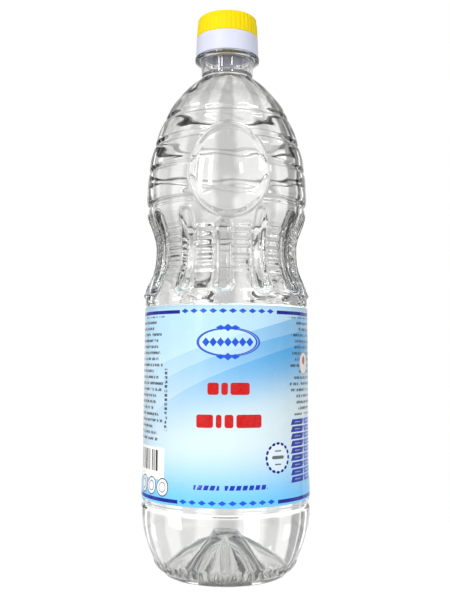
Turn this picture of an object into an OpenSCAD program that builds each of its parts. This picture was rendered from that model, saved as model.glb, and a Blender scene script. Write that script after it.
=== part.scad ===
// A one-litre bottle of clear vinegar: a ribbed plastic bottle with a fluted waist and a hollowed base,
// the vinegar in it, a thin label, and a two-colour screw cap. The origin is the middle of the base,
// +Z is up and the front, with the oval medallion, faces -Y.

/* [Bottle] */
// Radius of the body under the label
panel_r = 39.8; // [34:0.2:46]
// Wall of the body
wall = 0.6; // [0.4:0.1:1]
// Radius of the foot
foot_r = 27.4; // [22:0.2:30]
// Width of the flat ring that the bottle stands on
stand_w = 2; // [1:0.25:4]
// Height of the rounded corner above the base
foot_h = 28; // [22:1:36]
// Height of the band between the corner and the label
band_h = 8; // [6:0.5:14]
// How far the band stands out from the body
band_out = 0.4; // [0.2:0.1:1]
// Height of the label panel
panel_h = 88.6; // [60:1:120]
// Height of the smooth sill above the label
sill_h = 5; // [4:0.5:10]
// Height of the waist
waist_h = 42.4; // [36:0.4:52]
// How far the waist is drawn in
waist_in = 5; // [3:0.25:8]
// How much narrower the body gets from the label to the shoulder
waist_lean = 0.9; // [0:0.1:2]
// Height from the top of the waist to the widest place of the shoulder
belt_h = 7.1; // [5:0.1:12]
// Height of the shoulder's curve, if it ran on to the axis
shoulder_h = 66.5; // [50:0.5:80]
// Depth of the grooves round the bottle
groove_d = 1.1; // [0.5:0.1:1.6]
// Width of the grooves round the bottle
groove_w = 3.8; // [2.5:0.1:5]
// Height of the foot's groove above the rounded corner
foot_groove_up = 5.4; // [3:0.1:6]
// Height of the groove above the waist
belt_groove_up = 2.6; // [2:0.1:4]
// Height of the shoulder's first groove above its widest place
shoulder_groove_up = 13; // [8:0.5:16]
// Distance between the grooves of the shoulder
groove_step = 13.5; // [11:0.5:16]

/* [Waist flutes] */
// Number of upright flutes
flute_n = 13; // [8:1:16]
// Width of a flute
flute_w = 6.5; // [4:0.25:8]
// Depth of a flute
flute_d = 1.2; // [0.6:0.1:2]
// Length of a flute
flute_l = 38; // [24:1:40]
// Turn of the first flute from the front
flute_turn = -2.5; // [-15:0.5:15]

/* [Medallion] */
// Width of the oval
oval_w = 38.5; // [28:0.5:44]
// Height of the oval
oval_h = 45.5; // [36:0.5:50]
// Height of the oval's middle above the waist
oval_up = 15.5; // [12:0.5:20]
// Turn of the oval from the front
oval_turn = 1.5; // [-5:0.5:5]
// Width of the oval's rim
rim_w = 2.6; // [1.5:0.1:4]
// Height of the rim above the shoulder
rim_out = 0.9; // [0.4:0.1:1.4]
// Height of the field inside the rim above the shoulder
field_out = 0.15; // [0.1:0.05:0.4]

/* [Base] */
// Height of the hollow under the base
punt_h = 21; // [8:1:26]
// Radius of the hollow's flat top
punt_top_r = 4; // [2:0.5:8]

/* [Neck] */
// Outer radius of the neck
neck_r = 13.2; // [11:0.1:15]
// Wall of the neck
neck_wall = 1.5; // [1:0.1:2]
// Height of the open neck below its ring
neck_h = 9.5; // [7:0.5:14]
// Radius of the neck's ring
ring_r = 16.4; // [15.5:0.1:19]
// Thickness of the neck's ring
ring_h = 2.2; // [1.5:0.1:3]

/* [Vinegar] */
// Height of the vinegar above the foot of the neck
fill_up = 2.7; // [-40:0.1:8]

/* [Label] */
// Thickness of the label
label_t = 0.15; // [0.1:0.05:0.4]

/* [Cap] */
// Radius of the collar at its foot
collar_r = 16; // [15:0.1:18]
// How much narrower the collar gets towards the lid
collar_taper = 0.3; // [0:0.05:0.8]
// Height of the collar
collar_h = 10.3; // [7:0.1:14]
// Gap between the neck's ring and the collar
collar_gap = 0.2; // [0.1:0.1:1]
// Radius of the lid
lid_r = 15.6; // [15:0.1:18]
// Height of the lid
lid_h = 10.5; // [8:0.1:14]
// Thickness of the lid's top
lid_top = 1.8; // [1.2:0.1:3]
// Rounding of the lid's top edge
lid_round = 2.6; // [1:0.1:4]
// Number of grip grooves round the lid
grip_n = 40; // [24:1:48]
// Depth of a grip groove
grip_d = 0.3; // [0.2:0.05:0.5]
// Clearance between the lid and the neck inside it
lid_clear = 0.3; // [0.2:0.05:0.5]

/* [Hidden] */
$fn = 96;
eps = 0.01;

band_r = panel_r + band_out;
foot_power = 1.57;
punt_power = 0.65;
shoulder_power = 0.52;
waist_power = 1.35;
label_z = foot_h + band_h;
sill_z = label_z + panel_h;
waist_z = sill_z + sill_h;
waist_top = waist_z + waist_h;
belt_z = waist_top + belt_h;
neck_z = belt_z + shoulder_h * sqrt(1 - pow(neck_r / panel_r, 1 / shoulder_power));
ring_z = neck_z + neck_h;
collar_z = ring_z + ring_h + collar_gap;
lid_z = collar_z + collar_h;
mouth_z = lid_z + lid_h - lid_top;
fill_z = neck_z + fill_up;
flute_mid = waist_z + waist_h / 2;
oval_z = waist_top + oval_up;
// The body narrows from the band to the label's panel over a short slope.
flare_h = 8;
slope_h = 2;
sill_groove_w = 2;
bore_r = neck_r - neck_wall;

// Heights of the grooves: above the rounded corner, above the waist and on the shoulder.
grooves = concat(
    [foot_h + foot_groove_up, waist_top + belt_groove_up],
    [for (i = [0:2]) belt_z + shoulder_groove_up + i * groove_step]
);

// Share of the full depth, 0 to 1, at a distance x from the middle of a groove of width w.
function dip(x, w) = abs(x) < w / 2 ? pow(cos(180 * x / w), 2) : 0;
function ease(x) = (1 - cos(180 * max(0, min(1, x)))) / 2;

// Radius of the body without its grooves, at a height z.
function foot_curve(z) = pow(1 - pow((foot_h - z) / foot_h, foot_power), 1 / foot_power);
function waist_curve(z) = pow(sin(90 * pow(abs(2 * (z - waist_z) / waist_h - 1), waist_power)), 2);
function shoulder_curve(z) = pow(1 - pow((z - belt_z) / shoulder_h, 2), shoulder_power);
function smooth_r(z) =
    z < foot_h ? foot_r + (band_r - foot_r) * foot_curve(z)
    : z < sill_z ? band_r - band_out * ease((z - label_z - flare_h) / slope_h)
    : z < waist_z ? panel_r
    : z < waist_top ? panel_r - waist_in * (1 - waist_curve(z)) - waist_lean * ease((z - waist_z) / waist_h)
    : z < belt_z ? panel_r - waist_lean * (1 - ease((z - waist_top) / belt_h))
    : z < neck_z ? panel_r * shoulder_curve(z)
    : neck_r;
function body_r(z) = smooth_r(z) - groove_d * sum([for (g = grooves) dip(z - g, groove_w)])
    - groove_d / 2 * dip(z - sill_z - sill_groove_w / 2, sill_groove_w);
function sum(list, i = 0) = i < len(list) ? list[i] + sum(list, i + 1) : 0;

// Heights at which the outline has a point: close together on curves and grooves, and far apart elsewhere.
function spread(a, b, n) = [for (i = [0:n - 1]) a + (b - a) * i / n];
foot_zs = [for (i = [0:8]) foot_h * (1 - cos(90 * i / 9))];
panel_zs = concat(spread(foot_h, label_z, 8), spread(label_z, label_z + flare_h, 1),
    spread(label_z + flare_h, label_z + flare_h + slope_h, 4), [label_z + flare_h + slope_h]);
body_zs = concat(
    foot_zs,
    panel_zs,
    spread(sill_z, waist_z, 10),
    spread(waist_z, waist_top, 12),
    spread(waist_top, belt_z, 8),
    spread(belt_z, neck_z, 56)
);

// The outline's points from the foot to the foot of the neck, moved in by an inset.
function body_points(inset) = [
    for (z = body_zs) [body_r(z) - inset, z < foot_h ? z + inset : z]
];
// The hollow under the base, from the axis out to the flat ring.
function punt_points(inset) = [
    [0, punt_h + inset],
    for (i = [0:8]) let (r = punt_top_r + (foot_r - stand_w - punt_top_r) * i / 8)
        [r, inset + punt_h * pow(cos(90 * pow(i / 8, punt_power)), 2)]
];

// The outline from the axis under the base up to the neck, moved in by an inset.
function outline(inset) = concat(
    punt_points(inset),
    [for (p = body_points(inset)) if (inset == 0 || p[1] < neck_z - neck_wall) p],
    [[neck_r - (inset > 0 ? neck_wall * inset / wall : 0), neck_z]]
);
function reversed(list) = [for (i = [len(list) - 1:-1:0]) list[i]];

module shell() {
    rotate_extrude() polygon(concat(
        outline(0),
        [[neck_r, ring_z], [ring_r, ring_z], [ring_r, ring_z + ring_h], [neck_r, ring_z + ring_h]],
        [[neck_r, mouth_z], [bore_r, mouth_z]],
        reversed(outline(wall))
    ));
}

// Everything inside an inset, up to a height in the neck.
module inside(inset, top) {
    points = outline(inset);
    rotate_extrude() polygon(concat(points, [[points[len(points) - 1][0], top], [0, top]]));
}

// What a flute takes away: its floor follows the waist at the flute's depth, and its ends slope out.
module flute(inset, high) {
    low = flute_mid - flute_l / 2 - inset;
    out_r = panel_r + band_out + 1;
    floor_points = [for (i = [0:6]) let (z = low + flute_d + (high - low - 2 * flute_d) * i / 6)
        [smooth_r(z) - flute_d - inset, z]];
    rotate([90, 0, 0]) linear_extrude(height = flute_w + 2 * inset, center = true) polygon(concat(
        [[out_r, low], [smooth_r(low) - inset, low]],
        floor_points,
        [[smooth_r(high) - inset, high], [out_r, high]]
    ));
}

// A flute under the medallion ends just below it.
module flutes(inset) {
    for (i = [0:flute_n - 1]) {
        turn = flute_turn + 360 * i / flute_n;
        under_oval = cos(turn - oval_turn) > cos(oval_w / 4 / panel_r * 180 / PI);
        high = under_oval ? oval_z - oval_h / 2 - 1 : flute_mid + flute_l / 2;
        rotate([0, 0, turn - 90]) flute(inset, high + inset);
    }
}

module oval_prism(trim) {
    points = [for (i = [0:47]) let (a = 360 * i / 48)
        [(oval_w / 2 - trim) * cos(a), (oval_h / 2 - trim) * sin(a)]];
    translate([0, 0, oval_z]) rotate([90, 0, oval_turn]) linear_extrude(height = panel_r + 5) polygon(points);
}

// A skin over the medallion's place, from inside the wall to a height above the body without its grooves.
module oval_skin(out) {
    zs = spread(oval_z - oval_h / 2 - 1, oval_z + oval_h / 2 + 1, 40);
    rotate([0, 0, -135]) rotate_extrude(angle = 90) polygon(concat(
        [for (z = zs) [smooth_r(z) + out, z]],
        reversed([for (z = zs) [body_r(z) - wall / 2, z]])
    ));
}

module medallion() {
    intersection() {
        oval_prism(0);
        oval_skin(field_out);
    }
    intersection() {
        difference() {
            oval_prism(0);
            oval_prism(rim_w);
        }
        oval_skin(rim_out);
    }
}

module bottle() {
    color([0.86, 0.88, 0.87, 0.45]) difference() {
        union() {
            shell();
            intersection() {
                inside(wall / 2, neck_z + 1);
                flutes(wall);
            }
            medallion();
        }
        flutes(0);
    }
}

module vinegar() {
    color([0.90, 0.92, 0.91, 0.8]) difference() {
        inside(wall, fill_z);
        flutes(wall);
    }
}

module label() {
    points = [for (z = concat([label_z], spread(label_z + flare_h, label_z + flare_h + slope_h, 4),
        [label_z + flare_h + slope_h, sill_z])) [smooth_r(z), z]];
    color([0.62, 0.82, 0.95]) rotate_extrude() polygon(concat(
        [for (p = points) [p[0] + label_t, p[1]]],
        reversed(points)
    ));
}

module collar() {
    color([0.88, 0.89, 0.95]) translate([0, 0, collar_z]) difference() {
        cylinder(r1 = collar_r, r2 = collar_r - collar_taper, h = collar_h);
        translate([0, 0, -eps]) cylinder(r = neck_r, h = collar_h + 2 * eps);
    }
}

module lid() {
    grip_r = 1.1;
    color([0.97, 0.86, 0.03]) translate([0, 0, lid_z]) difference() {
        rotate_extrude() polygon(concat(
            [[0, 0]],
            [[lid_r, 0]],
            [for (i = [0:8]) let (a = 90 * i / 8)
                [lid_r - lid_round * (1 - cos(a)), lid_h - lid_round * (1 - sin(a))]],
            [[0, lid_h]]
        ));
        translate([0, 0, -eps]) cylinder(r = neck_r + lid_clear, h = lid_h - lid_top + eps);
        for (i = [0:grip_n - 1]) rotate([0, 0, 360 * i / grip_n])
            translate([lid_r + grip_r - grip_d, 0, -eps]) cylinder(r = grip_r, h = lid_h - lid_round);
    }
}

bottle();
vinegar();
label();
collar();
lid();
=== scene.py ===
"""A one-litre bottle of clear vinegar: the looks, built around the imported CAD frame."""
import math

import bpy
import numpy as np
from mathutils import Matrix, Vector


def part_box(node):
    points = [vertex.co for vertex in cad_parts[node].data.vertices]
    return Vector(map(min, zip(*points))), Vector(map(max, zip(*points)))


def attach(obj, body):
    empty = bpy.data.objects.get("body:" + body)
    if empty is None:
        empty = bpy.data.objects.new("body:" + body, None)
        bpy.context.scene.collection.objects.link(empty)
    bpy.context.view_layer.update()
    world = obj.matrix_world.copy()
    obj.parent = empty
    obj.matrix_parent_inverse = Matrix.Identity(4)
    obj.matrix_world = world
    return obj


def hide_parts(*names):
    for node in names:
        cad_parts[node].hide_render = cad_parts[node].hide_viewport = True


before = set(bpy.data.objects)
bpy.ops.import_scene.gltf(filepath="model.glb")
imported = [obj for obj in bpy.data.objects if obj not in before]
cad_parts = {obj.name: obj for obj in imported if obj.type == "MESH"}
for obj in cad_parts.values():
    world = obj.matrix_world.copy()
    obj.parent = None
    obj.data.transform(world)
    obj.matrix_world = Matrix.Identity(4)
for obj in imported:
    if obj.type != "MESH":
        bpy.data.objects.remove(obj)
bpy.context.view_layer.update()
scene = bpy.context.scene
scene.view_settings.view_transform = "Standard"
MM = 0.001

# The camera's place in metres, its lens in millimetres on a 36 mm sensor, its angles in degrees and its shift.
CAMERA_AT = (0.0, -0.4216, 0.101)
CAMERA_LENS = 51.06
CAMERA_TILT, CAMERA_ROLL = 7.42, -0.22
CAMERA_SHIFT = (-0.0018, -0.0883)

FLOOR_R, FLOOR_FADE_R = 0.30, 0.06
# The floor's own light, as the camera sees it and as the clear parts see it.
FLOOR_SEEN, FLOOR_UNSEEN = 0.78, 1.15
BAND_LIGHT, CEILING_LIGHT, GROUND_SHARE = 0.95, 0.60, 0.80
CEILING_EDGE, FLOOR_EDGE = (0.20, 0.42), (-0.30, -0.10)
# Azimuth from the front, half width and light of each dark strip.
STRIPS = [(-90, 6, 0.45), (90, 6, 0.45), (-62, 4, 0.3), (66, 4, 0.3), (-148, 3, 0.3), (-137, 3, 0.08),
          (-123, 5, 0.15), (124, 4, 0.12), (138, 2, 0.5), (152, 4, 0.75), (180, 1.8, 0.6), (-164, 2, 0.7),
          (168, 2, 0.75), (-20, 5, 0.5), (20, 5, 0.5)]
STRIP_EDGE = 2.5
# Azimuth, height, half width, half height and light of each bright pane.
PANES = [(173, 0.03, 2.2, 0.035, 0.7), (-172, -0.05, 2.0, 0.05, 0.6), (-166, 0.10, 2.5, 0.03, 0.7),
         (163, -0.10, 2.5, 0.025, 0.7), (-155, 0.0, 1.5, 0.04, 0.5), (146, 0.03, 2.0, 0.05, 0.4),
         (-130, 0.05, 2.0, 0.2, 0.9), (132, -0.03, 2.0, 0.2, 0.8), (0, 0.25, 5.0, 0.04, 0.8)]
LAMP_AIM_Z = 0.13


# ---------------------------------------------------------------- camera and studio

def add_camera():
    """The eye stands 42 cm from the bottle's axis, 10 cm up, and looks slightly upwards."""
    data = bpy.data.cameras.new("camera")
    data.sensor_width = 36.0
    data.lens = CAMERA_LENS
    data.shift_x, data.shift_y = CAMERA_SHIFT
    data.clip_start = 0.01
    camera = bpy.data.objects.new("camera", data)
    camera.location = CAMERA_AT
    camera.rotation_euler = (math.radians(90 + CAMERA_TILT), math.radians(CAMERA_ROLL), 0)
    scene.collection.objects.link(camera)
    scene.camera = camera


def add_softbox(name, azimuth, elevation, distance, width, height, power, mirrored=True):
    """A rectangular lamp that faces the bottle's middle. Azimuth 0 is in front, and 90 is on the right."""
    data = bpy.data.lights.new(name, "AREA")
    data.shape = "RECTANGLE"
    data.size = width
    data.size_y = height
    data.energy = power
    lamp = bpy.data.objects.new(name, data)
    a, e = math.radians(azimuth), math.radians(elevation)
    aim = np.array([0.0, 0.0, LAMP_AIM_Z])
    spot = np.array([math.sin(a) * math.cos(e), -math.cos(a) * math.cos(e), math.sin(e)])
    lamp.location = aim + distance * spot
    lamp.rotation_euler = (math.radians(90) - e, 0, a)
    lamp.visible_transmission = False
    lamp.visible_glossy = mirrored
    scene.collection.objects.link(lamp)


class Nodes:
    """A small helper that adds nodes to a tree and links their inputs."""

    def __init__(self, tree):
        self.tree = tree

    def add(self, kind, inputs=(), **settings):
        node = self.tree.nodes.new(kind)
        for key, value in settings.items():
            setattr(node, key, value)
        for key, value in dict(inputs).items():
            self.put(node.inputs[key], value)
        return node

    def put(self, socket, value):
        if isinstance(value, bpy.types.NodeSocket):
            self.tree.links.new(value, socket)
        else:
            socket.default_value = value

    def math(self, operation, a, b=0.0, c=0.0):
        node = self.add("ShaderNodeMath", operation=operation)
        for socket, value in zip(node.inputs, (a, b, c)):
            self.put(socket, value)
        return node.outputs[0]

    def ramp(self, value, low, high, to_low=0.0, to_high=1.0, smooth=True):
        node = self.add("ShaderNodeMapRange", interpolation_type="SMOOTHSTEP" if smooth else "LINEAR")
        for socket, given in zip(node.inputs, (value, low, high, to_low, to_high)):
            self.put(socket, given)
        return node.outputs[0]

    def turn_from(self, turn, azimuth):
        """How far a direction is turned from an azimuth in degrees, either way round."""
        gap = self.math("SUBTRACT", turn, math.radians(azimuth))
        return self.math("ABSOLUTE", self.math("WRAP", gap, math.pi, -math.pi))

    def mix(self, share, a, b):
        node = self.add("ShaderNodeMix", data_type="RGBA")
        self.put(node.inputs[0], share)
        self.put(node.inputs[6], a)
        self.put(node.inputs[7], b)
        return node.outputs[2]

    def noise(self, vector, scale, detail=2.0, roughness=0.5):
        node = self.add("ShaderNodeTexNoise",
                        {"Vector": vector, "Scale": scale, "Detail": detail, "Roughness": roughness})
        return node.outputs["Fac"]


def add_studio():
    """A white room to the eye. Clear things mirror and bend a darker one: a bright level band between
    a dim ceiling and a dim floor, with upright dark strips, so their edges and ridges show."""
    world = bpy.data.worlds.new("studio")
    scene.world = world
    world.use_nodes = True
    world.node_tree.nodes.clear()
    n = Nodes(world.node_tree)
    way = n.add("ShaderNodeTexCoord").outputs["Generated"]
    parts = n.add("ShaderNodeSeparateXYZ", {0: way}).outputs
    turn = n.math("ARCTAN2", parts["X"], n.math("MULTIPLY", parts["Y"], -1.0))
    light = n.ramp(parts["Z"], *CEILING_EDGE, BAND_LIGHT, CEILING_LIGHT)
    light = n.math("MULTIPLY", light, n.ramp(parts["Z"], *FLOOR_EDGE, GROUND_SHARE, 1.0))
    for azimuth, half, share in STRIPS:
        edge = math.radians(half), math.radians(half + STRIP_EDGE)
        strip = n.ramp(n.turn_from(turn, azimuth), *edge, share, 1.0)
        light = n.math("MULTIPLY", light, strip)
    for azimuth, height, half_w, half_h, bright in PANES:
        away = n.turn_from(turn, azimuth)
        rise = n.math("ABSOLUTE", n.math("SUBTRACT", parts["Z"], height))
        pane = n.math("MULTIPLY", n.ramp(away, math.radians(half_w), math.radians(half_w + 1), 1.0, 0.0),
                      n.ramp(rise, half_h, half_h + 0.015, 1.0, 0.0))
        light = n.math("ADD", light, n.math("MULTIPLY", pane, bright))
    seen = n.add("ShaderNodeLightPath").outputs["Is Camera Ray"]
    light = n.math("ADD", n.math("MULTIPLY", n.math("SUBTRACT", 1.0, seen), light), seen)
    background = n.add("ShaderNodeBackground", {"Color": (1, 1, 1, 1), "Strength": light})
    n.add("ShaderNodeOutputWorld", {"Surface": background.outputs[0]})
    bpy.ops.mesh.primitive_circle_add(vertices=96, radius=FLOOR_R, fill_type="NGON", location=(0, 0, 0))
    floor = bpy.context.active_object
    floor.name = "floor"
    floor.data.materials.append(floor_material())
    add_softbox("key", -37, 16, 1.0, 0.10, 0.5, 2.6)
    add_softbox("key_inner", -23, 22, 1.0, 0.08, 0.3, 1.3)
    add_softbox("glint", 21, 24, 1.0, 0.07, 0.10, 0.5)
    add_softbox("fill", 45, 20, 1.2, 0.5, 0.8, 0.8, mirrored=False)
    add_softbox("wash", -30, 30, 1.2, 0.6, 0.8, 0.8, mirrored=False)
    add_softbox("top", 10, 76, 1.0, 0.5, 0.35, 1.6, mirrored=False)


def floor_material():
    """A pale floor that fades out into the white room."""
    material = bpy.data.materials.new("floor")
    material.use_nodes = True
    n = Nodes(material.node_tree)
    shader = material.node_tree.nodes["Principled BSDF"]
    shader.inputs["Base Color"].default_value = (0.30, 0.30, 0.30, 1)
    shader.inputs["Roughness"].default_value = 0.6
    shader.inputs["Emission Color"].default_value = (1, 1, 1, 1)
    seen = n.add("ShaderNodeLightPath").outputs["Is Camera Ray"]
    n.put(shader.inputs["Emission Strength"], n.ramp(seen, 0.0, 1.0, FLOOR_UNSEEN, FLOOR_SEEN))
    place = n.add("ShaderNodeTexCoord").outputs["Object"]
    away = n.add("ShaderNodeVectorMath", {0: place}, operation="LENGTH").outputs["Value"]
    clear = n.add("ShaderNodeBsdfTransparent")
    gone = n.ramp(away, FLOOR_FADE_R, FLOOR_R - 0.02)
    both = n.add("ShaderNodeMixShader", {0: gone, 1: shader.outputs[0], 2: clear.outputs[0]})
    n.put(material.node_tree.nodes["Material Output"].inputs["Surface"], both.outputs[0])
    return material


# ---------------------------------------------------------------- the bottle's outline, in millimetres

def box_mm(node):
    low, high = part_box(node)
    return np.array(low) / MM, np.array(high) / MM


LABEL_LOW, LABEL_HIGH = box_mm("label")
COLLAR_LOW, COLLAR_HIGH = box_mm("collar")
LID_LOW, LID_HIGH = box_mm("lid")
VINEGAR_HIGH = box_mm("vinegar")[1]
MOUTH_Z = box_mm("bottle")[1][2]
LABEL_Z, SILL_Z = LABEL_LOW[2], LABEL_HIGH[2]
LABEL_T = 0.15
BAND_R = LABEL_HIGH[0] - LABEL_T
BAND_OUT = 0.4
PANEL_R = BAND_R - BAND_OUT
FOOT_H = LABEL_Z - 8
FOOT_R, FOOT_POWER = 27.4, 1.57
STAND_W = 3.0
WAIST_Z = SILL_Z + 5
WAIST_H = 42.4
WAIST_IN = 5.0
WAIST_LEAN, WAIST_POWER = 0.9, 1.35
WAIST_TOP = WAIST_Z + WAIST_H
BELT_Z = WAIST_TOP + 7.1
SHOULDER_H = 66.5
SHOULDER_POWER = 0.52
NECK_R = 13.2
NECK_Z = BELT_Z + SHOULDER_H * math.sqrt(1 - (NECK_R / PANEL_R) ** (1 / SHOULDER_POWER))
RING_R, RING_H = 16.4, 2.2
RING_Z = COLLAR_LOW[2] - 0.2 - RING_H
NECK_BLEND = 0.4
COLLAR_TAPER = 0.3
WALL, NECK_WALL = 0.6, 1.5
PUNT_H, PUNT_TOP_R, PUNT_POWER = 21.0, 4, 0.65
STAR_RAYS = 5
OVAL_Z = WAIST_TOP + 15.5
OVAL_W, OVAL_H, RIM_W = 38.5, 45.5, 2.8
OVAL_TURN = 1.5
FLUTE_N, FLUTE_TURN, FLUTE_W, FLUTE_D = 13, -2.5, 7.0, 2.0
FLUTE_MID, FLUTE_HALF = WAIST_Z + 21.4, 16.2
RIB_STEP, RIB_D = 3.9, 0.5
# The first groove is the foot's, which is wider and shallower. The rest go round the belt and the shoulder.
GROOVES = [FOOT_H + 5.4, WAIST_TOP + 2.6, BELT_Z + 13, BELT_Z + 26.5, BELT_Z + 40]
FOOT_GROOVE_W, FOOT_GROOVE_D = 3.8, 0.8
GROOVE_W, GROOVE_D = 3.4, 1.3


# Points round the bottle, the lid, the collar and the label.
COLUMNS, LID_COLUMNS, COLLAR_COLUMNS, LABEL_COLUMNS = 400, 480, 240, 256
LID_RIBS, LID_RIB_D = 40, 0.34


def ease(x):
    x = np.clip(x, 0, 1)
    return x * x * (3 - 2 * x)


def dip(x, width):
    """1 in the middle of a groove of this width, and 0 outside it."""
    return np.where(np.abs(x) < width / 2, np.cos(np.pi * x / width) ** 2, 0.0)


def body_radius(z):
    """The body's radius without its relief."""
    low = (1 - np.clip((FOOT_H - z) / FOOT_H, 0, 1) ** FOOT_POWER) ** (1 / FOOT_POWER)
    foot = FOOT_R + (BAND_R - FOOT_R) * low
    panel = BAND_R - BAND_OUT * ease((z - LABEL_Z - 8) / 2)
    share = np.clip((z - WAIST_Z) / WAIST_H, 0, 1)
    curve = np.sin(np.pi / 2 * np.abs(2 * share - 1) ** WAIST_POWER) ** 2
    waist = PANEL_R - WAIST_IN * (1 - curve) - WAIST_LEAN * (1 - np.cos(np.pi * share)) / 2
    belt = PANEL_R - WAIST_LEAN * (1 - ease((z - WAIST_TOP) / (BELT_Z - WAIST_TOP)))
    shoulder = PANEL_R * np.clip(1 - ((z - BELT_Z) / SHOULDER_H) ** 2, 0, 1) ** SHOULDER_POWER
    above = (shoulder - NECK_R) / NECK_BLEND
    meet = np.logaddexp(0, above) - math.log(2) * np.exp(-np.maximum(above, 0))
    shoulder = NECK_R + NECK_BLEND * meet
    return np.select([z < FOOT_H, z < SILL_Z, z < WAIST_Z, z < WAIST_TOP, z < BELT_Z],
                     [foot, panel, np.full_like(z, PANEL_R), waist, belt], shoulder)


def punt_height(r):
    """Height of the hollow under the base, between its rays."""
    away = np.clip((r - PUNT_TOP_R) / (FOOT_R - 6), 0, 1) ** PUNT_POWER
    return PUNT_H * np.cos(np.pi / 2 * away) ** 2


def outline():
    """The bottle's outer outline from the middle of the base to the neck: radius, height."""
    r = np.linspace(0.4, FOOT_R - STAND_W, 44)
    under = np.stack([r, 0.25 + punt_height(r)], 1)
    turn = np.linspace(0, 1, 9)[1:-1]
    ring = np.stack([FOOT_R - STAND_W + STAND_W * turn, 0.42 * (1 - turn) ** 2], 1)
    low = FOOT_H * (1 - np.cos(np.linspace(0, np.pi / 2, 46)))
    high = np.concatenate([
        np.arange(FOOT_H + 0.7, LABEL_Z + 12, 0.7), np.arange(LABEL_Z + 12, SILL_Z - 3, 3.0),
        np.arange(SILL_Z - 3, NECK_Z + 3.0, 0.6)])
    z = np.concatenate([low, high])
    side = np.stack([body_radius(z), z], 1)
    return np.concatenate([under, ring, side])


def directions(points):
    """The outward normal at each point of an outline."""
    step = np.gradient(points, axis=0)
    step /= np.linalg.norm(step, axis=1, keepdims=True)
    return np.stack([step[:, 1], -step[:, 0]], 1)


def wrapped(angle):
    return (angle + np.pi) % (2 * np.pi) - np.pi


def relief(r, z, angle):
    """How far the outer surface stands out from the plain outline. Angle 0 is in front, 90 on the right."""
    side = z > 0.5
    grooves = FOOT_GROOVE_D * dip(z - GROOVES[0], FOOT_GROOVE_W)
    grooves = grooves + sum(dip(z - g, GROOVE_W) for g in GROOVES[1:]) * GROOVE_D
    grooves = grooves + 0.55 * dip(z - SILL_Z - 1.0, 2.0)
    hoops = sum(dip(z - g - 6.75, 11.5) for g in GROOVES[2:]) * 0.25
    # The medallion covers the grooves: a smooth oval field inside a round rim.
    across = wrapped(angle - math.radians(OVAL_TURN)) * np.clip(r, 20, None)
    level = (z - OVAL_Z) / (OVAL_H / 2)
    size = np.sqrt((across / (OVAL_W / 2 * (1 - 0.09 * np.clip(level, -1, 1)))) ** 2 + level ** 2)
    edge = (size - 1) * OVAL_W / 2
    front = np.abs(wrapped(angle)) < 1.2
    inside = np.where(front, 1 - ease((edge + RIM_W * 0.2) / 0.9), 0.0)
    rim = np.where(front, dip(edge + RIM_W / 2, RIM_W * 1.25), 0.0)
    out = (hoops - grooves) * (1 - inside) + 0.15 * inside + 1.6 * rim
    # Upright flutes round the waist, each a pocket with round ends and a raised lip.
    pocket = np.zeros_like(out)
    clear = np.ones_like(out)
    for i in range(FLUTE_N):
        turn = math.radians(FLUTE_TURN + 360 * i / FLUTE_N)
        near = abs(math.degrees(wrapped(turn))) < 10
        top = OVAL_Z - OVAL_H / 2 - 4.0 if near else FLUTE_MID + FLUTE_HALF
        low = FLUTE_MID - FLUTE_HALF
        dx = wrapped(angle - turn) * np.clip(r, 20, None)
        dz = z - np.clip(z, low, top)
        swell = 1 + 0.22 * ease((low + 4 - z) / 6)
        reach = np.sqrt(dx ** 2 + dz ** 2) / (FLUTE_W / 2 * swell)
        pocket = np.maximum(pocket, 1 - ease((reach - 0.5) / 0.42))
        clear = np.minimum(clear, ease((reach - 1.1) / 0.3))
        out = out + 0.6 * dip(reach - 1.08, 0.38)
    out = out - FLUTE_D * pocket
    # Fine level ribs between the flutes.
    band = ease((z - (WAIST_Z + 9.5)) / 1.5) * (1 - ease((z - (WAIST_Z + 33.5)) / 1.5))
    ribs = np.cos(2 * np.pi * (z - WAIST_Z) / RIB_STEP)
    out = out + RIB_D * ribs * band * clear * (1 - inside)
    # A ring line above the label.
    out = out + 0.35 * dip(z - WAIST_Z - 1.2, 2.2)
    return np.where(side, out, 0.0)


def star(r, angle):
    """How far the hollow under the base is pushed up: five round-backed rays that run out from its top."""
    spread = np.zeros(np.broadcast(r, angle).shape)
    for i in range(STAR_RAYS):
        turn = wrapped(angle - math.radians(180 + 360 / STAR_RAYS * i))
        away = np.abs(np.sin(turn)) * r
        width = 2.8 + 0.9 * ease((r - 6) / 20)
        back = np.sqrt(np.clip(1 - (away / width) ** 2, 0, 1))
        spread = np.maximum(spread, np.where(np.cos(turn) > 0, back, 0.0))
    crest = np.maximum(0.0, (PUNT_H - 0.5) * (1 - (r / 28.5) ** 1.9) - punt_height(r))
    knob = 0.5 * dip(r - 4.4, 1.8)
    return spread ** 0.8 * crest * (1 - ease((r - 24.0) / 3.0)) + knob


def beads(z, angle):
    """Small round bumps along the foot, on a low step."""
    return 0.6 * np.cos(42 * angle) * dip(z - 5.2, 7.5) - 0.6 * dip(z - 2.0, 2.6)


def wobble(z, angle, phase):
    """The slight unevenness of a blown wall."""
    return (np.sin(3 * angle + 0.05 * z + phase) * np.sin(0.11 * z + 1.7 * phase)
            + 0.6 * np.sin(7 * angle - 0.09 * z + 2.3 * phase) * np.cos(0.23 * z + phase)
            + 0.35 * np.sin(13 * angle + 0.31 * z + phase) * np.sin(0.37 * z))


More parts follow.
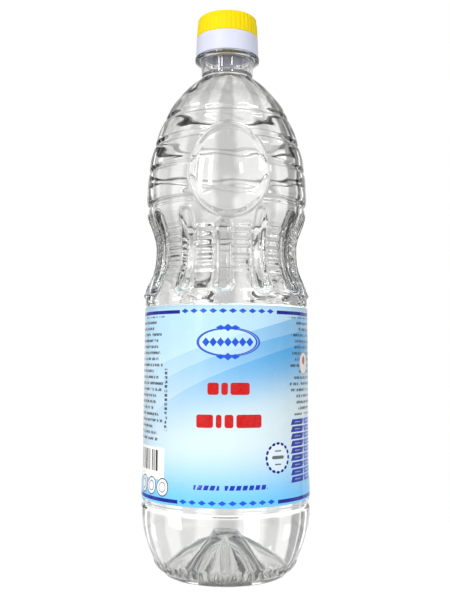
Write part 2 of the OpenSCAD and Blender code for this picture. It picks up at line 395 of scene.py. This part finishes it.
def surface(inset, uneven=0.03, phase=0.0):
    """Rows of points over the bottle's body, moved in by an inset: an array of rows x columns x 3."""
    points = outline()
    normals = directions(points)
    angle = 2 * np.pi * np.arange(COLUMNS) / COLUMNS
    r, z = points[:, :1], points[:, 1:]
    under = (np.arange(len(points))[:, None] < np.argmin(points[:, 1]))
    out = np.where(under, 0.0, relief(r, z, angle[None]))
    lift = np.where(under, star(r, angle[None]), 0.0)
    out = out + np.where(under | (z > 10), 0.0, beads(z, angle[None]))
    fade = ease((z - 2) / 6) * (1 - ease((z - NECK_Z + 4) / 4))
    out = out + uneven * wobble(z, angle[None], phase) * fade * np.where(under, 0, 1)
    radius = r + normals[:, :1] * (out - inset)
    height = z + normals[:, 1:] * (out - inset) + lift
    radius = np.maximum(radius, 0.05)
    x = radius * np.sin(angle)
    y = -radius * np.cos(angle)
    return np.stack([x, y, np.broadcast_to(height, x.shape)], 2) * MM


def turned(points, columns):
    """Rows of points made by turning an outline round the axis."""
    angle = 2 * np.pi * np.arange(columns) / columns
    points = np.array(points, float)
    r, z = points[:, :1], points[:, 1:]
    x, y = r * np.sin(angle), -r * np.cos(angle)
    return np.stack([x, y, np.broadcast_to(z, x.shape)], 2) * MM


def skin(name, rows, close_ends=True):
    """A mesh over rows of points. Its ends are closed by a middle point each."""
    count, columns = rows.shape[:2]
    verts = rows.reshape(-1, 3).tolist()
    i = np.arange(count - 1)[:, None] * columns
    j = np.arange(columns)[None]
    k = (j + 1) % columns
    faces = np.stack([i + j, i + k, i + columns + k, i + columns + j], 2).reshape(-1, 4).tolist()
    if close_ends:
        for row, flip in ((0, True), (count - 1, False)):
            middle = len(verts)
            verts.append(rows[row].mean(axis=0).tolist())
            for c in range(columns):
                a, b = row * columns + c, row * columns + (c + 1) % columns
                faces.append([middle, b, a] if flip else [middle, a, b])
    mesh = bpy.data.meshes.new(name)
    mesh.from_pydata(verts, [], faces)
    mesh.validate()
    mesh.polygons.foreach_set("use_smooth", [True] * len(mesh.polygons))
    piece = bpy.data.objects.new(name, mesh)
    scene.collection.objects.link(piece)
    return piece


def arc(cx, cz, radius, start, stop, steps):
    """Points on a round edge, as radius and height. Angles are in degrees from the level."""
    return [[cx + radius * math.cos(math.radians(start + (stop - start) * i / steps)),
             cz + radius * math.sin(math.radians(start + (stop - start) * i / steps))]
            for i in range(steps + 1)]


# ---------------------------------------------------------------- pieces

def make_bottle():
    """The bottle's wall as one closed skin: up the outside, over the mouth and down the inside."""
    outer = surface(0.0)
    top = outer[-1, :, 2].max() / MM
    neck = [[NECK_R, z] for z in np.linspace(top + 0.8, RING_Z - 0.8, 6)]
    neck += arc(NECK_R + 0.7, RING_Z - 0.7, 0.7, 180, 90, 4)
    neck += arc(RING_R - 0.9, RING_Z + 0.9, 0.9, -90, 0, 5)
    neck += arc(RING_R - 0.5, RING_Z + RING_H - 0.5, 0.5, 0, 90, 4)
    neck += [[NECK_R, RING_Z + RING_H], [NECK_R, RING_Z + RING_H + 4], [NECK_R, MOUTH_Z - 0.4]]
    bore = NECK_R - NECK_WALL
    neck += [[NECK_R - 0.3, MOUTH_Z], [bore + 0.3, MOUTH_Z], [bore, MOUTH_Z - 0.4]]
    neck += [[bore, z] for z in np.linspace(MOUTH_Z - 6, NECK_Z + 3.2, 12)]
    inner = surface(WALL, uneven=0.06, phase=2.0)[::-1]
    rows = np.concatenate([outer, turned(neck, COLUMNS), blend_neck(inner)])
    piece = skin("bottle_wall", rows)
    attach(piece, "root")
    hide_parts("bottle")
    piece.data.materials.append(plastic_material())


def blend_neck(rows):
    """Thickens the inner rows towards the neck's heavier wall."""
    z = rows[..., 2] / MM
    radius = np.hypot(rows[..., 0], rows[..., 1]) / MM
    extra = (NECK_WALL - WALL) * ease((z - NECK_Z + 8) / 9)
    share = np.where(radius > 5, (radius - extra) / np.maximum(radius, 1e-6), 1.0)
    rows = rows.copy()
    rows[..., 0] *= share
    rows[..., 1] *= share
    return rows


def make_vinegar():
    """The vinegar, out to just inside the wall, with a slight rise where it meets the neck."""
    level = VINEGAR_HIGH[2]
    rows = blend_neck(surface(WALL * 0.55, uneven=0.05, phase=1.0))
    heights = rows[..., 2].max(axis=1) / MM
    rows = rows[: int(np.argmax(heights > level - 2.5)) or len(rows)]
    bore = NECK_R - NECK_WALL + 0.35
    top = [[bore, level - 1.2], [bore, level - 0.1], [bore - 0.15, level + 0.25]]
    top += [[bore - 0.6, level + 0.02], [bore - 1.3, level - 0.12]]
    top += [[r, level - 0.15] for r in np.linspace(bore - 2.5, 0.6, 7)]
    rows = np.concatenate([rows, turned(top, COLUMNS)])
    piece = skin("vinegar_body", rows)
    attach(piece, "root")
    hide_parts("vinegar")
    piece.data.materials.append(liquid_material())


def clear_shader(n, ior, colour):
    """A clear shader that lets light through to what lies behind it."""
    shader = n.add("ShaderNodeBsdfPrincipled", {
        "Base Color": colour, "Roughness": 0.0, "IOR": ior, "Transmission Weight": 1.0})
    through = n.add("ShaderNodeBsdfTransparent", {"Color": colour})
    path = n.add("ShaderNodeLightPath")
    both = n.add("ShaderNodeMixShader", {
        0: path.outputs["Is Shadow Ray"], 1: shader.outputs[0], 2: through.outputs[0]})
    return shader, both.outputs[0]


def new_material(name):
    material = bpy.data.materials.new(name)
    material.use_nodes = True
    material.node_tree.nodes.clear()
    return material, Nodes(material.node_tree)


def plastic_material():
    """Clear plastic with a breath of haze and a faint ripple."""
    material, n = new_material("clear_plastic")
    place = n.add("ShaderNodeTexCoord").outputs["Object"]
    shader, out = clear_shader(n, 1.56, (0.996, 0.998, 0.996, 1))
    haze = n.noise(place, 90.0, 3.0)
    n.put(shader.inputs["Roughness"], n.ramp(haze, 0.3, 0.8, 0.0, 0.035))
    bump = n.add("ShaderNodeBump", {
        "Height": n.noise(place, 160.0, 2.0), "Strength": 0.05, "Distance": 0.0004})
    n.put(shader.inputs["Normal"], bump.outputs[0])
    n.add("ShaderNodeOutputMaterial", {"Surface": out})
    return material


def liquid_material():
    """Clear vinegar, slightly warm."""
    material, n = new_material("vinegar")
    n.add("ShaderNodeOutputMaterial", {"Surface": clear_shader(n, 1.34, (0.994, 0.99, 0.978, 1))[1]})
    return material


def make_lid():
    """The yellow lid: soft upright grip ribs that fade into a round top edge, and a hollow underside."""
    low, high = LID_LOW[2], LID_HIGH[2]
    radius = LID_HIGH[0]
    side = [[NECK_R + 0.3, high - 1.8], [NECK_R + 0.3, low + 0.1], [NECK_R + 0.5, low]]
    side += [[radius - 0.3, low], [radius, low + 0.3]]
    side += [[radius - 0.03 * (z - low), z] for z in np.linspace(low + 1, high - 4.6, 8)]
    side += [[radius - 0.3, high - 3.6], [radius - 0.65, high - 2.6]]
    side += arc(radius - 2.3, high - 1.9, 1.9, 25, 90, 10)
    side += [[r, high] for r in np.linspace(radius - 3.4, 1, 8)]
    rows = turned(side, LID_COLUMNS)
    r = np.array(side)[:, :1]
    z = np.array(side)[:, 1:]
    angle = 2 * np.pi * np.arange(LID_COLUMNS) / LID_COLUMNS
    wave = np.abs(np.sin(LID_RIBS / 2 * angle)) ** 0.55
    depth = LID_RIB_D * ease((r - radius + 2.0) / 1.6) * ease((z - low - 0.2) / 0.5) * (r > NECK_R + 1)
    share = 1 - depth * (1 - wave) / r
    rows[..., 0] *= share
    rows[..., 1] *= share
    inner = np.array([[1.0, high - 1.8], [8.0, high - 1.8]])
    rows = np.concatenate([turned(inner, LID_COLUMNS), rows])
    piece = skin("lid_cap", rows)
    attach(piece, "root")
    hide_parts("lid")
    piece.data.materials.append(
        moulded_material("yellow_plastic", (0.90, 0.68, 0.0), (0.95, 0.73, 0.001), 0.36, 0.15))


def make_collar():
    """The white collar: a smooth band that narrows a little towards the lid."""
    low, high = COLLAR_LOW[2], COLLAR_HIGH[2]
    radius = COLLAR_HIGH[0]
    side = [[NECK_R, high - 0.3], [NECK_R, low + 0.4], [NECK_R + 0.4, low]]
    side += [[radius - 0.5, low]] + arc(radius - 0.35, low + 0.35, 0.35, -80, 0, 4)
    side += [[radius - COLLAR_TAPER * (z - low) / (high - low), z]
             for z in np.linspace(low + 1.4, high - 0.5, 9)]
    top = radius - COLLAR_TAPER
    side += [[top - 0.1, high - 0.2], [top - 0.25, high], [NECK_R + 0.3, high]]
    side += [[NECK_R, high - 0.3]]
    piece = skin("collar_ring", turned(side, COLLAR_COLUMNS), close_ends=False)
    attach(piece, "root")
    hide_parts("collar")
    piece.data.materials.append(
        moulded_material("white_plastic", (0.68, 0.70, 0.84), (0.72, 0.74, 0.88), 0.3, 0.35))


def moulded_material(name, dark, light, roughness, specular):
    """Opaque moulded plastic: faint cloudiness, fine grain and a soft gloss."""
    material, n = new_material(name)
    place = n.add("ShaderNodeTexCoord").outputs["Object"]
    cloud = n.noise(place, 60.0, 3.0)
    colour = n.mix(n.ramp(cloud, 0.3, 0.7), (*dark, 1), (*light, 1))
    grain = n.noise(place, 1500.0, 2.0)
    bump = n.add("ShaderNodeBump", {"Height": grain, "Strength": 0.12, "Distance": 0.0002})
    shader = n.add("ShaderNodeBsdfPrincipled", {
        "Base Color": colour, "Roughness": n.ramp(cloud, 0.2, 0.8, roughness, roughness + 0.08),
        "Subsurface Weight": 0.08, "Subsurface Radius": (1, 0.8, 0.5), "Subsurface Scale": 0.0015,
        "Normal": bump.outputs[0]})
    shader.inputs["Specular IOR Level"].default_value = specular
    n.add("ShaderNodeOutputMaterial", {"Surface": shader.outputs[0]})
    return material


def make_label():
    """The printed film round the bottle, a thin sleeve with a smooth glossy face."""
    columns = LABEL_COLUMNS
    z = np.concatenate([np.linspace(LABEL_Z, LABEL_Z + 12, 14), np.linspace(LABEL_Z + 16, SILL_Z, 20)])
    r = body_radius(z - 1e-6)
    angle = 2 * np.pi * np.arange(columns + 1) / columns
    out = (r + LABEL_T)[:, None] + 0.03 * np.sin(5 * angle + 0.08 * z[:, None]) * np.sin(0.19 * z[:, None])
    verts, faces, uvs = [], [], []
    layers = []
    for layer, radius in enumerate((out, np.broadcast_to(r[:, None] + 0.01, out.shape))):
        layers.append(len(verts))
        for i in range(len(z)):
            for j in range(columns):
                verts.append((radius[i, j] * math.sin(angle[j] - math.pi) * MM,
                              -radius[i, j] * math.cos(angle[j] - math.pi) * MM, z[i] * MM))
    mesh = bpy.data.meshes.new("label_film")
    rows = len(z)

    def at(layer, i, j):
        return layers[layer] + i * columns + j % columns

    def uv(i, j):
        return ((angle[j] - math.pi) * LABEL_HIGH[0] / PRINT_MM, (z[i] - LABEL_Z) / PRINT_MM)

    for i in range(rows - 1):
        for j in range(columns):
            faces.append((at(0, i, j), at(0, i, j + 1), at(0, i + 1, j + 1), at(0, i + 1, j)))
            uvs += [uv(i, j), uv(i, j + 1), uv(i + 1, j + 1), uv(i + 1, j)]
    for i in range(rows - 1):
        for j in range(columns):
            faces.append((at(1, i, j), at(1, i + 1, j), at(1, i + 1, j + 1), at(1, i, j + 1)))
            uvs += [uv(i, j), uv(i + 1, j), uv(i + 1, j + 1), uv(i, j + 1)]
    for i, flip in ((0, True), (rows - 1, False)):
        for j in range(columns):
            ring = [at(0, i, j), at(0, i, j + 1), at(1, i, j + 1), at(1, i, j)]
            spot = [uv(i, j), uv(i, j + 1), uv(i, j + 1), uv(i, j)]
            faces.append(tuple(ring[::-1] if flip else ring))
            uvs += spot[::-1] if flip else spot
    mesh.from_pydata(verts, [], faces)
    layer = mesh.uv_layers.new(name="print")
    layer.data.foreach_set("uv", np.array(uvs, np.float32).ravel())
    mesh.polygons.foreach_set("use_smooth", [True] * len(mesh.polygons))
    mesh.materials.append(print_material())
    mesh.materials.append(label_back_material())
    for index, face in enumerate(mesh.polygons):
        face.material_index = 1 if index >= (rows - 1) * columns else 0
    piece = bpy.data.objects.new("label_film", mesh)
    scene.collection.objects.link(piece)
    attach(piece, "root")
    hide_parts("label")


def label_back_material():
    """The label's inner face: pale, with a painted glow from emission that stands in for light coming through the
    print.
    """
    material, n = new_material("label_back")
    place = n.add("ShaderNodeTexCoord").outputs["Object"]
    colour = n.mix(n.noise(place, 700.0, 3.0), (0.62, 0.72, 0.78, 1), (0.74, 0.82, 0.86, 1))
    # Painted light: the emission makes the inner face glow in place of light that comes through the print.
    shader = n.add("ShaderNodeBsdfPrincipled", {
        "Base Color": colour, "Roughness": 0.5, "Emission Color": colour, "Emission Strength": 0.3})
    n.add("ShaderNodeOutputMaterial", {"Surface": shader.outputs[0]})
    return material


def lin(red, green, blue):
    """A screen colour, 0 to 255, as the shader's linear values."""
    linear = [((c / 255 + 0.055) / 1.055) ** 2.4 if c > 10 else c / 3294 for c in (red, green, blue)]
    return (*linear, 1.0)


# The width of one print of the design, its middle, and how many millimetres a UV unit stands for.
PANEL, MIDDLE, PRINT_MM = 125.5, 0.8, 100.0
ROYAL, NAVY = lin(0, 82, 212), lin(0, 14, 140)
RED, WHITE, INK = lin(200, 0, 2), lin(250, 250, 248), lin(36, 40, 44)


class Print(Nodes):
    """Shapes printed on the label, placed in millimetres from the panel's middle and the label's lower edge."""

    def __init__(self, tree, x, y, ground):
        super().__init__(tree)
        self.x, self.y, self.colour = x, y, ground

    def edge(self, distance, soft=0.07):
        """1 where a distance is below 0, with a crisp soft edge."""
        return self.ramp(distance, -soft, soft, 1.0, 0.0, smooth=False)

    def sub(self, a, b):
        return self.math("SUBTRACT", a, b)

    def off(self, value, middle):
        return self.math("ABSOLUTE", self.sub(value, middle))

    def ink(self, mask, colour, strength=1.0):
        share = mask if strength == 1.0 else self.math("MULTIPLY", mask, strength)
        self.colour = self.mix(share, self.colour, colour)

    def both(self, a, b):
        return self.math("MAXIMUM", a, b)

    def block(self, cx, cy, half_w, half_h, x=None, y=None):
        """The distance outside a rectangle."""
        x = self.x if x is None else x
        y = self.y if y is None else y
        return self.both(self.sub(self.off(x, cx), half_w), self.sub(self.off(y, cy), half_h))

    def rounded(self, cx, cy, half_w, half_h, radius):
        """The distance outside a rectangle with round corners."""
        across = self.math("MAXIMUM", self.sub(self.off(self.x, cx), half_w - radius), 0.0)
        up = self.math("MAXIMUM", self.sub(self.off(self.y, cy), half_h - radius), 0.0)
        return self.sub(self.math("SQRT", self.math(
            "ADD", self.math("MULTIPLY", across, across), self.math("MULTIPLY", up, up))), radius)

    def pill(self, cx, cy, half_w, radius):
        """The distance outside a level bar with round ends."""
        along = self.math("MAXIMUM", self.sub(self.off(self.x, cx), half_w - radius), 0.0)
        across = self.sub(self.y, cy)
        reach = self.math("SQRT", self.math("ADD", self.math("MULTIPLY", along, along),
                                            self.math("MULTIPLY", across, across)))
        return self.sub(reach, radius)

    def oval(self, cx, cy, half_w, half_h):
        """The distance outside an oval, measured near its rim."""
        u = self.math("DIVIDE", self.sub(self.x, cx), half_w)
        v = self.math("DIVIDE", self.sub(self.y, cy), half_h)
        size = self.math("SQRT", self.math("ADD", self.math("MULTIPLY", u, u), self.math("MULTIPLY", v, v)))
        return self.math("MULTIPLY", self.sub(size, 1.0), min(half_w, half_h))

    def outline(self, distance, width):
        return self.sub(self.math("ABSOLUTE", distance), width / 2)

    def repeat(self, value, start, step):
        """The distance from the middle of the nearest of a row of marks."""
        shifted = self.math("ADD", self.sub(value, start), step / 2)
        return self.sub(self.math("FLOORED_MODULO", shifted, step), step / 2)


def print_material():
    """The label's print: a pale sky with swooping bands, borders, plain emblems and greyed-out small print."""
    material, n = new_material("label_print")
    uv = n.add("ShaderNodeUVMap", uv_map="print").outputs[0]
    parts = n.add("ShaderNodeSeparateXYZ", {0: uv}).outputs
    wide = n.math("MULTIPLY", parts["X"], PRINT_MM)
    y = n.math("MULTIPLY", parts["Y"], PRINT_MM)
    # The design is printed twice round the bottle.
    x = n.math("SUBTRACT", n.math("FLOORED_MODULO", n.math("ADD", wide, PANEL / 2), PANEL), PANEL / 2)
    p = Print(material.node_tree, x, y, lin(214, 232, 238))
    draw_sky(p)
    draw_borders(p)
    draw_emblem(p)
    draw_headings(p)
    draw_size_ring(p)
    draw_table(p)
    draw_small_print(p)
    place = p.add("ShaderNodeTexCoord").outputs["Object"]
    mottle = p.noise(place, 900.0, 3.0)
    cloud = p.noise(place, 120.0, 2.0)
    colour = p.mix(p.ramp(mottle, 0.25, 0.75, 0.0, 0.02), p.colour, lin(255, 255, 255))
    ripple = p.add("ShaderNodeBump", {
        "Height": p.noise(place, 45.0, 2.0), "Strength": 0.12, "Distance": 0.0008})
    shader = p.add("ShaderNodeBsdfPrincipled", {
        "Base Color": colour, "Roughness": p.ramp(cloud, 0.3, 0.8, 0.2, 0.3),
        "Normal": ripple.outputs[0]})
    shader.inputs["Specular IOR Level"].default_value = 0.22
    shader.inputs["Coat Weight"].default_value = 0.1
    shader.inputs["Coat Roughness"].default_value = 0.1
    p.add("ShaderNodeOutputMaterial", {"Surface": shader.outputs[0]})
    return material


def draw_sky(p):
    """Pale at the left and the middle, blue along the foot, and deeper blue under three swooping arcs."""
    foot = p.ramp(p.y, -2, 30, 1.0, 0.0)
    p.ink(foot, lin(96, 192, 248), 1.0)
    high = p.ramp(p.y, 40, 80, 0.0, 1.0)
    p.ink(high, lin(186, 224, 246), 1.0)
    rightward = p.ramp(p.x, -48, 58, 0.0, 1.0, smooth=False)
    square = p.math("MULTIPLY", rightward, rightward)
    # Each arc: height at the middle, slope, bend, depth of its blue, and how far down it fades.
    arcs = ((73.3, 0.31, -0.0010, 0.50, 34.0), (67.3, 0.33, -0.0022, 0.55, 30.0),
            (59.3, 0.40, -0.0026, 0.62, 32.0))
    for middle, slope, bend, depth, fade in arcs:
        curve = p.math("ADD", p.math("MULTIPLY", p.x, slope), middle)
        curve = p.math("ADD", curve, p.math("MULTIPLY", p.math("MULTIPLY", p.x, p.x), bend))
        below = p.sub(curve, p.y)
        mask = p.math("MULTIPLY", p.edge(p.math("MULTIPLY", below, -1.0)), p.ramp(below, 0, fade, 1.0, 0.0))
        p.ink(p.math("MULTIPLY", mask, p.ramp(rightward, 0.02, 0.85, 0.24, 1.0)), lin(28, 158, 224), depth)
        line = p.edge(p.sub(p.math("ABSOLUTE", below), 0.1))
        p.ink(p.math("MULTIPLY", line, p.ramp(square, 0, 0.6, 0.25, 0.7)), lin(60, 150, 225), 0.8)


def draw_borders(p):
    """A navy bar at each end of a row of diamonds, along the top and the foot."""
    for height in (86.0, 2.1):
        bar = p.both(p.sub(p.off(p.y, height - 0.3), 0.82), p.sub(23.6, p.off(p.x, 1.2)))
        p.ink(p.edge(bar), NAVY)
        step = 4.53
        along = p.math("ABSOLUTE", p.repeat(p.x, MIDDLE - step / 2, step))
        shape = p.math("ADD", p.math("DIVIDE", along, 1.9), p.math("DIVIDE", p.off(p.y, height), 1.1))
        row = p.both(p.sub(shape, 1.0), p.sub(p.off(p.x, MIDDLE), 5 * step))
        p.ink(p.edge(row), ROYAL)


def draw_emblem(p):
    """A plain emblem: a double oval line round a row of diamonds, with three diamonds above and below."""
    cx, cy = MIDDLE, 72.0
    p.ink(p.edge(p.oval(cx, cy, 14.2, 6.3)), lin(206, 234, 252), 0.6)
    for wide, high, dx in ((14.3, 6.3, 0.25), (13.5, 5.9, -0.15)):
        p.ink(p.edge(p.outline(p.oval(cx + dx, cy, wide, high), 0.4)), lin(20, 76, 196))
    step = 3.35
    along = p.math("ABSOLUTE", p.repeat(p.x, cx, step))
    shape = p.math("ADD", p.math("DIVIDE", along, 1.75), p.math("DIVIDE", p.off(p.y, cy), 2.1))
    p.ink(p.edge(p.both(p.sub(shape, 1.0), p.sub(p.off(p.x, cx), 3.5 * step)), 0.03), ROYAL)
    for side in (-1, 1):
        for i in range(-1, 2):
            high = cy + side * (6.3 + 0.15)
            along = p.math("DIVIDE", p.off(p.x, cx + 3.3 * i), 2.2)
            tall = p.math("DIVIDE", p.off(p.y, high), 1.7 if i == 0 else 1.2)
            p.ink(p.edge(p.sub(p.math("ADD", along, tall), 1.0), 0.03), ROYAL)


def draw_headings(p):
    """Two rows of plain red blocks, and a row of slanted navy dashes below them."""
    rows = ((51.4, 2.7, ((-5.8, 2.6), (-0.6, 1.5), (6.4, 4.4))),
            (37.2, 2.9, ((-9.6, 3.9), (-3.2, 1.3), (1.4, 2.0), (10.6, 5.9))))
    for cy, radius, blocks in rows:
        for cx, half in blocks:
            p.ink(p.edge(p.rounded(cx, cy, half, radius, 1.1)), RED)
    lean = p.sub(p.x, p.math("MULTIPLY", p.sub(p.y, 8.6), 0.35))
    stroke = p.math("ABSOLUTE", p.repeat(lean, 0.0, 2.9))
    row = p.both(p.sub(stroke, 1.05), p.sub(p.off(p.y, 8.6), 1.0))
    row = p.both(row, p.sub(p.off(p.x, 2.4), 16.9))
    row = p.both(row, p.sub(1.2, p.off(p.x, -1.6)))
    p.ink(p.edge(row), lin(6, 44, 176))


def draw_size_ring(p):
    """A dashed ring at the right, with three short grey bars in it."""
    cx, cy, radius = 25.3, 20.8, 6.3
    p.ink(p.edge(p.oval(cx, cy, radius, radius)), lin(236, 244, 246), 0.5)
    turn = p.math("ARCTAN2", p.sub(p.y, cy), p.sub(p.x, cx))
    step = 2 * math.pi / 16
    arc_at = p.math("MULTIPLY", p.math("ABSOLUTE", p.repeat(turn, 0.0, step)), radius)
    bow = p.math("MULTIPLY", p.math("MULTIPLY", arc_at, arc_at), 0.35)
    dash = p.both(p.sub(arc_at, 0.95), p.sub(p.off(p.oval(cx, cy, radius, radius), 0.0), p.sub(0.62, bow)))
    p.ink(p.edge(dash), NAVY)
    for dy, half, thick in ((3.0, 1.9, 0.3), (0.2, 3.4, 0.75), (-2.9, 1.8, 0.3)):
        p.ink(p.edge(p.pill(cx, cy + dy, half, thick)), INK, 0.85)


def draw_table(p):
    """Nine rows of navy tabs beside lighter cells, at the right."""
    step = 3.2
    level = p.repeat(p.y, 36.0, step)
    inside = p.sub(p.off(p.y, 36.0 - 4 * step), 4.5 * step)
    slant = p.math("MULTIPLY", level, 0.45)
    tab = p.block(39.6, 0.0, 5.4, 1.28, x=p.sub(p.x, slant), y=level)
    p.ink(p.edge(p.both(tab, inside)), lin(12, 44, 160))
    p.ink(p.edge(p.both(p.block(39.4, 0.0, 2.6, 0.22, y=level), inside)), lin(206, 224, 240), 0.45)
    cell = p.block(51.4, 0.0, 5.6, 1.34, y=level)
    p.ink(p.edge(p.both(cell, inside)), lin(70, 104, 196))
    p.ink(p.edge(p.both(p.block(51.4, 0.0, 3.6, 0.2, y=level), inside)), lin(206, 224, 240), 0.7)


def draw_small_print(p):
    """Greyed-out lines of small print at both sides, a block of bars, three round marks and a round stamp."""
    speckle = p.add("ShaderNodeTexNoise", {"Scale": 1.0, "Detail": 1.0}, noise_dimensions="2D")
    spot = p.add("ShaderNodeCombineXYZ", {"X": p.math("MULTIPLY", p.x, 0.95), "Y": p.math("MULTIPLY", p.y, 0.27)})
    p.put(speckle.inputs["Vector"], spot.outputs[0])
    words = p.ramp(speckle.outputs["Fac"], 0.40, 0.45, 0.0, 1.0, smooth=False)
    for cx, half, top, low, ragged in ((-46.0, 14.0, 84.0, 26.0, 1), (46.0, 13.6, 84.0, 39.0, -1)):
        step = 2.8
        level = p.math("ABSOLUTE", p.repeat(p.y, top, step))
        row = p.math("FLOOR", p.math("DIVIDE", p.math("ADD", p.sub(p.y, top), step / 2), step))
        inset = p.math("MULTIPLY", p.math("FRACT", p.math("MULTIPLY", p.math("SINE", p.math(
            "MULTIPLY", row, 12.9)), 43.7)), 9.0)
        reach = p.math("ADD", p.math("MULTIPLY", p.sub(p.x, cx), float(ragged)), inset)
        line = p.both(p.sub(level, 0.6), p.sub(reach, half))
        line = p.both(line, p.sub(-half, p.math("MULTIPLY", p.sub(p.x, cx), float(ragged))))
        line = p.both(line, p.sub(p.off(p.y, (top + low) / 2), (top - low) / 2))
        p.ink(p.math("MULTIPLY", p.edge(line, 0.2), words), INK, 0.85)
    p.ink(p.edge(p.block(-44.0, 17.4, 13.0, 7.1)), WHITE)
    bars = p.math("SINE", p.math("ADD", p.math("MULTIPLY", p.x, 4.1), p.math("MULTIPLY", p.math(
        "SINE", p.math("MULTIPLY", p.x, 1.13)), 2.6)))
    bar = p.both(p.block(-45.2, 18.6, 10.4, 4.7), p.math("MULTIPLY", bars, -1.0))
    p.ink(p.edge(bar), lin(38, 38, 42))
    stamped = p.both(p.block(-30.4, 46.0, 0.9, 14.0), p.sub(p.math("ABSOLUTE", p.repeat(p.y, 46.0, 2.0)), 0.62))
    p.ink(p.math("MULTIPLY", p.edge(stamped, 0.15), words), lin(20, 22, 28), 0.9)
    for cx, tone in ((-49.0, 236), (-40.4, 240), (-31.8, 246)):
        disc = p.oval(cx, 7.2, 3.7, 3.8)
        p.ink(p.edge(disc), lin(tone, tone, tone))
        p.ink(p.edge(p.outline(disc, 0.5)), lin(60, 62, 70))
        p.ink(p.edge(p.outline(p.oval(cx, 7.2, 2.1, 2.1), 0.45)), lin(120, 126, 134))
    stamp = p.oval(46.4, 62.6, 5.0, 5.0)
    p.ink(p.edge(stamp), lin(232, 226, 220))
    p.ink(p.edge(p.outline(stamp, 0.4)), lin(150, 150, 150))
    p.ink(p.edge(p.oval(46.4, 64.0, 1.7, 2.0)), lin(172, 74, 56))


add_camera()
add_studio()
make_bottle()
make_vinegar()
make_lid()
make_collar()
make_label()
